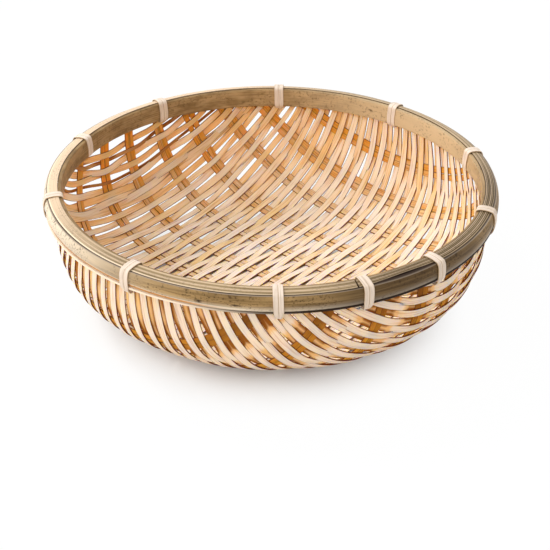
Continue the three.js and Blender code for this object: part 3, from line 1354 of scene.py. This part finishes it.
    def cover_strip(self) -> Strip:
        """Shape the cover: a narrow strip over the splints' ends, its top ribbed by its fibres.

        Returns:
            Its skin.
        """
        inside, outside = self.cover.inside - self.cover_inwards, self.cover.outside + self.cover_outwards
        middle, half = (inside + outside) / 2, (outside - inside) / 2
        across = np.linspace(1, -1, self.cover_steps)
        under = self.outer.top - 0.1
        crown = self.cover.top + 0.1 - 0.25 * np.abs(across) ** 3 + self.cover_tilt * (0.4 - across) / 1.4
        cut = np.zeros_like(across)
        for place, depth, width in self.cover_grooves:
            cut = np.maximum(cut, depth * np.exp(-(((across - place) / width) ** 2)))
        wide, narrow, low = self.cover.outside, self.cover.inside, self.cover.bottom
        outer_foot = [(wide, low), (wide, under), (outside - 0.1, under)]
        inner_foot = [(inside + 0.1, under), (narrow, under), (narrow, low)]
        section = np.array(outer_foot + list(zip(middle + half * across, crown - cut)) + inner_foot)
        turn = self.turns(self.cover_joint)
        narrowing = self.seam_opening * self.open_seam.share(turn)[:, None]
        outwards = ((section[:, 0] - inside) / (outside - inside)).clip(0, 1)
        ribs = 0.55 + 0.45 * np.sin(9 * (section[:, 0] - inside))
        heights = np.tile(section[:, 1], (self.stations, 1))
        section = np.stack([section[:, 0] - narrowing * outwards, heights], -1)
        strip = self.ring(section, self.cover_joint, 0.0, 83.0, self.cover_stray)

        edge = np.zeros(3)  # the feet's three lines on each side
        arris = ((across - 0.66) / 0.16).clip(0, 1)
        seam = (-across - 0.9).clip(0, 1) / 0.1
        # painted shade on the feet under the cover, in its grooves and along its inner seam
        dark = np.concatenate([edge + 0.9, np.maximum(cut / 0.16, 0.6 * seam), edge + 0.6])
        # raw wood at the arris, shown more on the left as painted light
        raw = 0.35 + 0.65 * self.cover_raw_and_painted_light.share(turn)[:, None]
        stripes = np.concatenate([edge, 0.3 + 0.3 * np.sin(7 * across), edge])
        strip.side = (raw * np.concatenate([edge, arris, edge])).reshape(-1)
        # painted light on the back and left
        strip.tint = np.maximum(stripes, self.cover_painted_light.share(turn)[:, None]).reshape(-1)
        # painted shade at the right, along the ribs
        strip.mark = np.maximum(dark, 0.9 * self.cover_painted_shade.share(turn)[:, None] * ribs).reshape(-1)
        return strip

    def build(self) -> list[Object]:
        """Make the three pieces.

        Returns:
            The outer hoop, the inner hoop and the cover.
        """
        return [
            make_piece(node, "strip", [strip], finish.material())
            for node, strip, finish, slot in (
                ("outer_hoop", self.outer_hoop(), HOOP_SKIN, Slot.OUTER_HOOP),
                ("inner_hoop", self.inner_hoop(), INNER_SKIN, Slot.INNER_HOOP),
                ("rim_cover", self.cover_strip(), COVER_SKIN, Slot.RIM_COVER),
            )
        ]


# The lashings


@dataclass
class Lashings:
    """Eleven cane lashings, each of two turns right round the rim and through the weave under it."""

    outer: RingSize
    inner: RingSize
    crown: float
    bearings: tuple[float, ...] = (17.5, 52.5, 88.5, 124.5, 155.5, 190.5, 233.5, 271.5, 293, 314, 343.5)
    cane_width: float = 2.15
    cane_thickness: float = 0.42
    cane_crown: float = 0.07
    clearance: float = 0.08
    dip: float = 3.4  # how far the turns reach down through the weave
    pinch: float = 0.62  # how far they draw together there
    narrowing: float = 0.35  # how much narrower the cane is there
    shear: float = 0.9  # how far the turns slant over the rim at the sides
    painted_shade_tones: tuple[float, ...] = (0.7, 0, 0, 0, 0.7, 2.6, 2.6, 2.6, 2.6, 2.6)  # painted shade, most on the face against the rim
    steps: int = 8
    rng: np.random.Generator = field(default_factory=lambda: np.random.default_rng(5))

    def loop(self) -> np.ndarray:
        """Find the way that a turn of cane takes: up the outside, over the cover, down the inside and back.

        Returns:
            Points (radius, height) on a smooth closed curve through the corners of that way.
        """
        stand = self.cane_thickness / 2 + self.clearance
        out, inn = self.outer.outside + stand, self.inner.inside - stand
        top, low = self.crown + stand, self.outer.bottom
        corners = [
            (self.outer.outside - 3.2, low - self.dip),
            (out - 0.9, low - 0.9),
            (out - 0.15, low + 1.8),
            (out, low + 4.1),
            (out - 0.3, low + 6.4),
            (out - 1.05, top - 0.85),
            (out - 2.2, top - 0.2),
            ((out + inn) / 2, top + 0.45),
            (inn + 1.6, top + 0.78),
            (inn + 0.3, top + 0.3),
            (inn, top - 1.2),
            (inn, low + 4.0),
            (inn + 0.05, low + 1.0),
            (inn + 0.9, low - 0.5),
            (inn + 2.4, low - 1.3),
        ]
        corners = np.array(corners)
        curve = []
        for i in range(len(corners)):
            a, b, c, d = (corners[(i + k) % len(corners)] for k in (-1, 0, 1, 2))
            for t in np.arange(self.steps) / self.steps:
                bent = (2 * a - 5 * b + 4 * c - d) * t**2 + (3 * b - a - 3 * c + d) * t**3
                curve.append(0.5 * (2 * b + (c - a) * t + bent))
        return np.array(curve)

    def turn(self, bearing: float, hand: int, skew: float, tint: float) -> Strip:
        """Wind one turn of cane.

        Args:
            bearing: the lashing's bearing.
            hand: which side of the lashing it is on, -1 or 1.
            skew: how far the lashing slants along the rim.
            tint: how deep its tone is.

        Returns:
            Its skin.
        """
        loop = self.loop()
        radius, height = loop[:, 0], loop[:, 1]
        low, turn = self.outer.bottom, math.radians(bearing)
        depth = ((low + 1.5 - height) / (1.5 + self.dip)).clip(0, 1)
        over = (height - low - 4).clip(0) / (self.crown - low - 4)
        sideways = hand * self.cane_width * 0.51 * (1 - self.pinch * depth**1.5)
        sideways = sideways + skew * (height - self.crown) / 12
        sideways = sideways + self.shear * math.cos(turn) * over * (radius - self.outer.inside) / 4
        east = np.array([math.cos(turn), math.sin(turn), 0.0])
        north = np.array([-math.sin(turn), math.cos(turn), 0.0])
        path = loop[:, :1] * east + sideways[:, None] * north + loop[:, 1:] * np.array([0, 0, 1.0])
        ahead = unit(np.roll(path, -1, axis=0) - np.roll(path, 1, axis=0))
        across = unit(north - ahead * (ahead @ north)[:, None])
        outwards = unit(np.cross(ahead, across))
        outwards *= np.sign(np.einsum("ij,ij->i", outwards, path - path.mean(axis=0)))[:, None]
        widths = 1 - self.narrowing * depth
        section = flat_section(self.cane_width, self.cane_thickness, self.cane_crown)
        section = section * np.stack([widths, np.ones_like(widths)], -1)[:, None]
        # painted shade under the cane, fading where it goes into the weave
        tones = tint + np.array(self.painted_shade_tones) * (1 - depth)[:, None] ** 2
        return sweep(path, across, outwards, section, self.rng.uniform(0, 500), tones, closed=True)

    def build(self) -> list[Object]:
        """Make a piece for each lashing.

        Returns:
            The pieces, in the order of their bearings.
        """
        material = CANE.material()
        pieces = []
        for number, bearing in enumerate(self.bearings):
            skew = float(self.rng.normal(0, 0.5))
            tint = float(self.rng.normal(0.2, 0.15))
            turns = [self.turn(bearing, hand, skew, tint) for hand in (-1, 1)]
            pieces.append(make_piece(f"lashing_{number + 1:02d}", "cane", turns, material))
        return pieces


# The studio


@dataclass(frozen=True)
class SoftLamp:
    """A far lamp: its strength, its bearing and height in degrees, and how wide it looks from the basket."""

    name: str
    strength: float
    bearing: float
    height: float
    spread: float

    def build(self) -> None:
        """Hang the lamp, turned towards the basket."""
        data = bpy.data.lights.new(self.name, "SUN")
        data.energy = self.strength
        data.angle = math.radians(self.spread)
        lamp = bpy.data.objects.new(self.name, data)
        bearing, height = math.radians(self.bearing), math.radians(self.height)
        level = math.cos(height)
        light = Vector((-math.cos(bearing) * level, -math.sin(bearing) * level, -math.sin(height)))
        lamp.rotation_mode = "QUATERNION"
        lamp.rotation_quaternion = light.to_track_quat("-Z", "Y")
        bpy.context.scene.collection.objects.link(lamp)


@dataclass
class Studio:
    """A white paper floor, soft lamps and the camera at the photograph's viewing angle."""

    eye: tuple[float, float, float] = (1.29, -705.7, 427.3)
    tilt_down: float = 30.82
    tilt_aside: float = 0.44
    lens: float = 117.8
    floor_half: float = 3000.0
    lamps: tuple[SoftLamp, ...] = (
        SoftLamp("window", 0.8, 140.0, 45.0, 13.0),
        SoftLamp("softbox", 0.98, 215.0, 36.0, 60.0),
    )
    fill_strength: float = 0.73
    backdrop_strength: float = 1.3
    bright_side: tuple[float, float, float] = (-0.85, 0.5, 0.15)  # towards the brighter wall
    bright_edge: tuple[float, float] = (-0.5, 0.7)

    def build(self) -> None:
        """Set up all of it."""
        bpy.context.scene.view_settings.view_transform = "Standard"
        self.camera()
        self.floor()
        self.room()
        for lamp in self.lamps:
            lamp.build()

    def camera(self) -> None:
        """Place the camera."""
        data = bpy.data.cameras.new("camera")
        data.lens = self.lens
        camera = bpy.data.objects.new("camera", data)
        turn = Matrix.Rotation(math.radians(90 - self.tilt_down), 4, "X")
        turn = turn @ Matrix.Rotation(math.radians(self.tilt_aside), 4, "Z")
        camera.matrix_world = Matrix.Translation(Vector(self.eye) * MM) @ turn
        bpy.context.scene.collection.objects.link(camera)
        bpy.context.scene.camera = camera

    def floor(self) -> None:
        """Lay the paper."""
        size = self.floor_half * MM
        mesh = bpy.data.meshes.new("floor")
        corners = [(-size, -size, 0), (size, -size, 0), (size, size, 0), (-size, size, 0)]
        mesh.from_pydata(corners, [], [(0, 1, 2, 3)])
        mesh.materials.append(PaperSweep().material())
        floor = bpy.data.objects.new("floor", mesh)
        bpy.context.scene.collection.objects.link(floor)

    def room(self) -> None:
        """Put a white room round it, brighter behind on the left."""
        world = bpy.data.worlds.new("white_room")
        world.use_nodes = True
        tree = world.node_tree
        tree.nodes.clear()
        way = add_node(tree, "TexCoord", {}).outputs["Generated"]
        along = add_node(
            tree, "VectorMath", {"operation": "DOT_PRODUCT", 1: self.bright_side}, {0: way}
        ).outputs["Value"]
        rise = {
            "interpolation_type": "SMOOTHSTEP",
            "From Min": self.bright_edge[0],
            "From Max": self.bright_edge[1],
            "To Min": self.fill_strength,
            "To Max": self.backdrop_strength,
        }
        fill = add_node(tree, "MapRange", rise, {"Value": along}).outputs[0]
        fed = {"Value": seen_directly(tree), "To Min": fill}
        strength = add_node(tree, "MapRange", {"To Max": 1.0}, fed).outputs[0]
        room = add_node(tree, "Background", {"Color": linear("FFFFFF")}, {"Strength": strength})
        add_node(tree, "OutputWorld", {}, {"Surface": room.outputs[0]})
        bpy.context.scene.world = world


def main() -> None:
    """Build the studio and the basket, and report each piece."""
    logging.basicConfig(level=logging.INFO, format="%(name)s: %(message)s")
    outer, inner, cover = (RingSize.of(node) for node in ("outer_hoop", "inner_hoop", "rim_cover"))
    Studio().build()
    for part in (Weave(Bowl(outer, inner)), Rim(outer, inner, cover), Lashings(outer, inner, cover.top)):
        for piece in part.build():
            log.info("%s: %d faces", piece.name, len(piece.data.polygons))


if __name__ == "__main__":
    main()
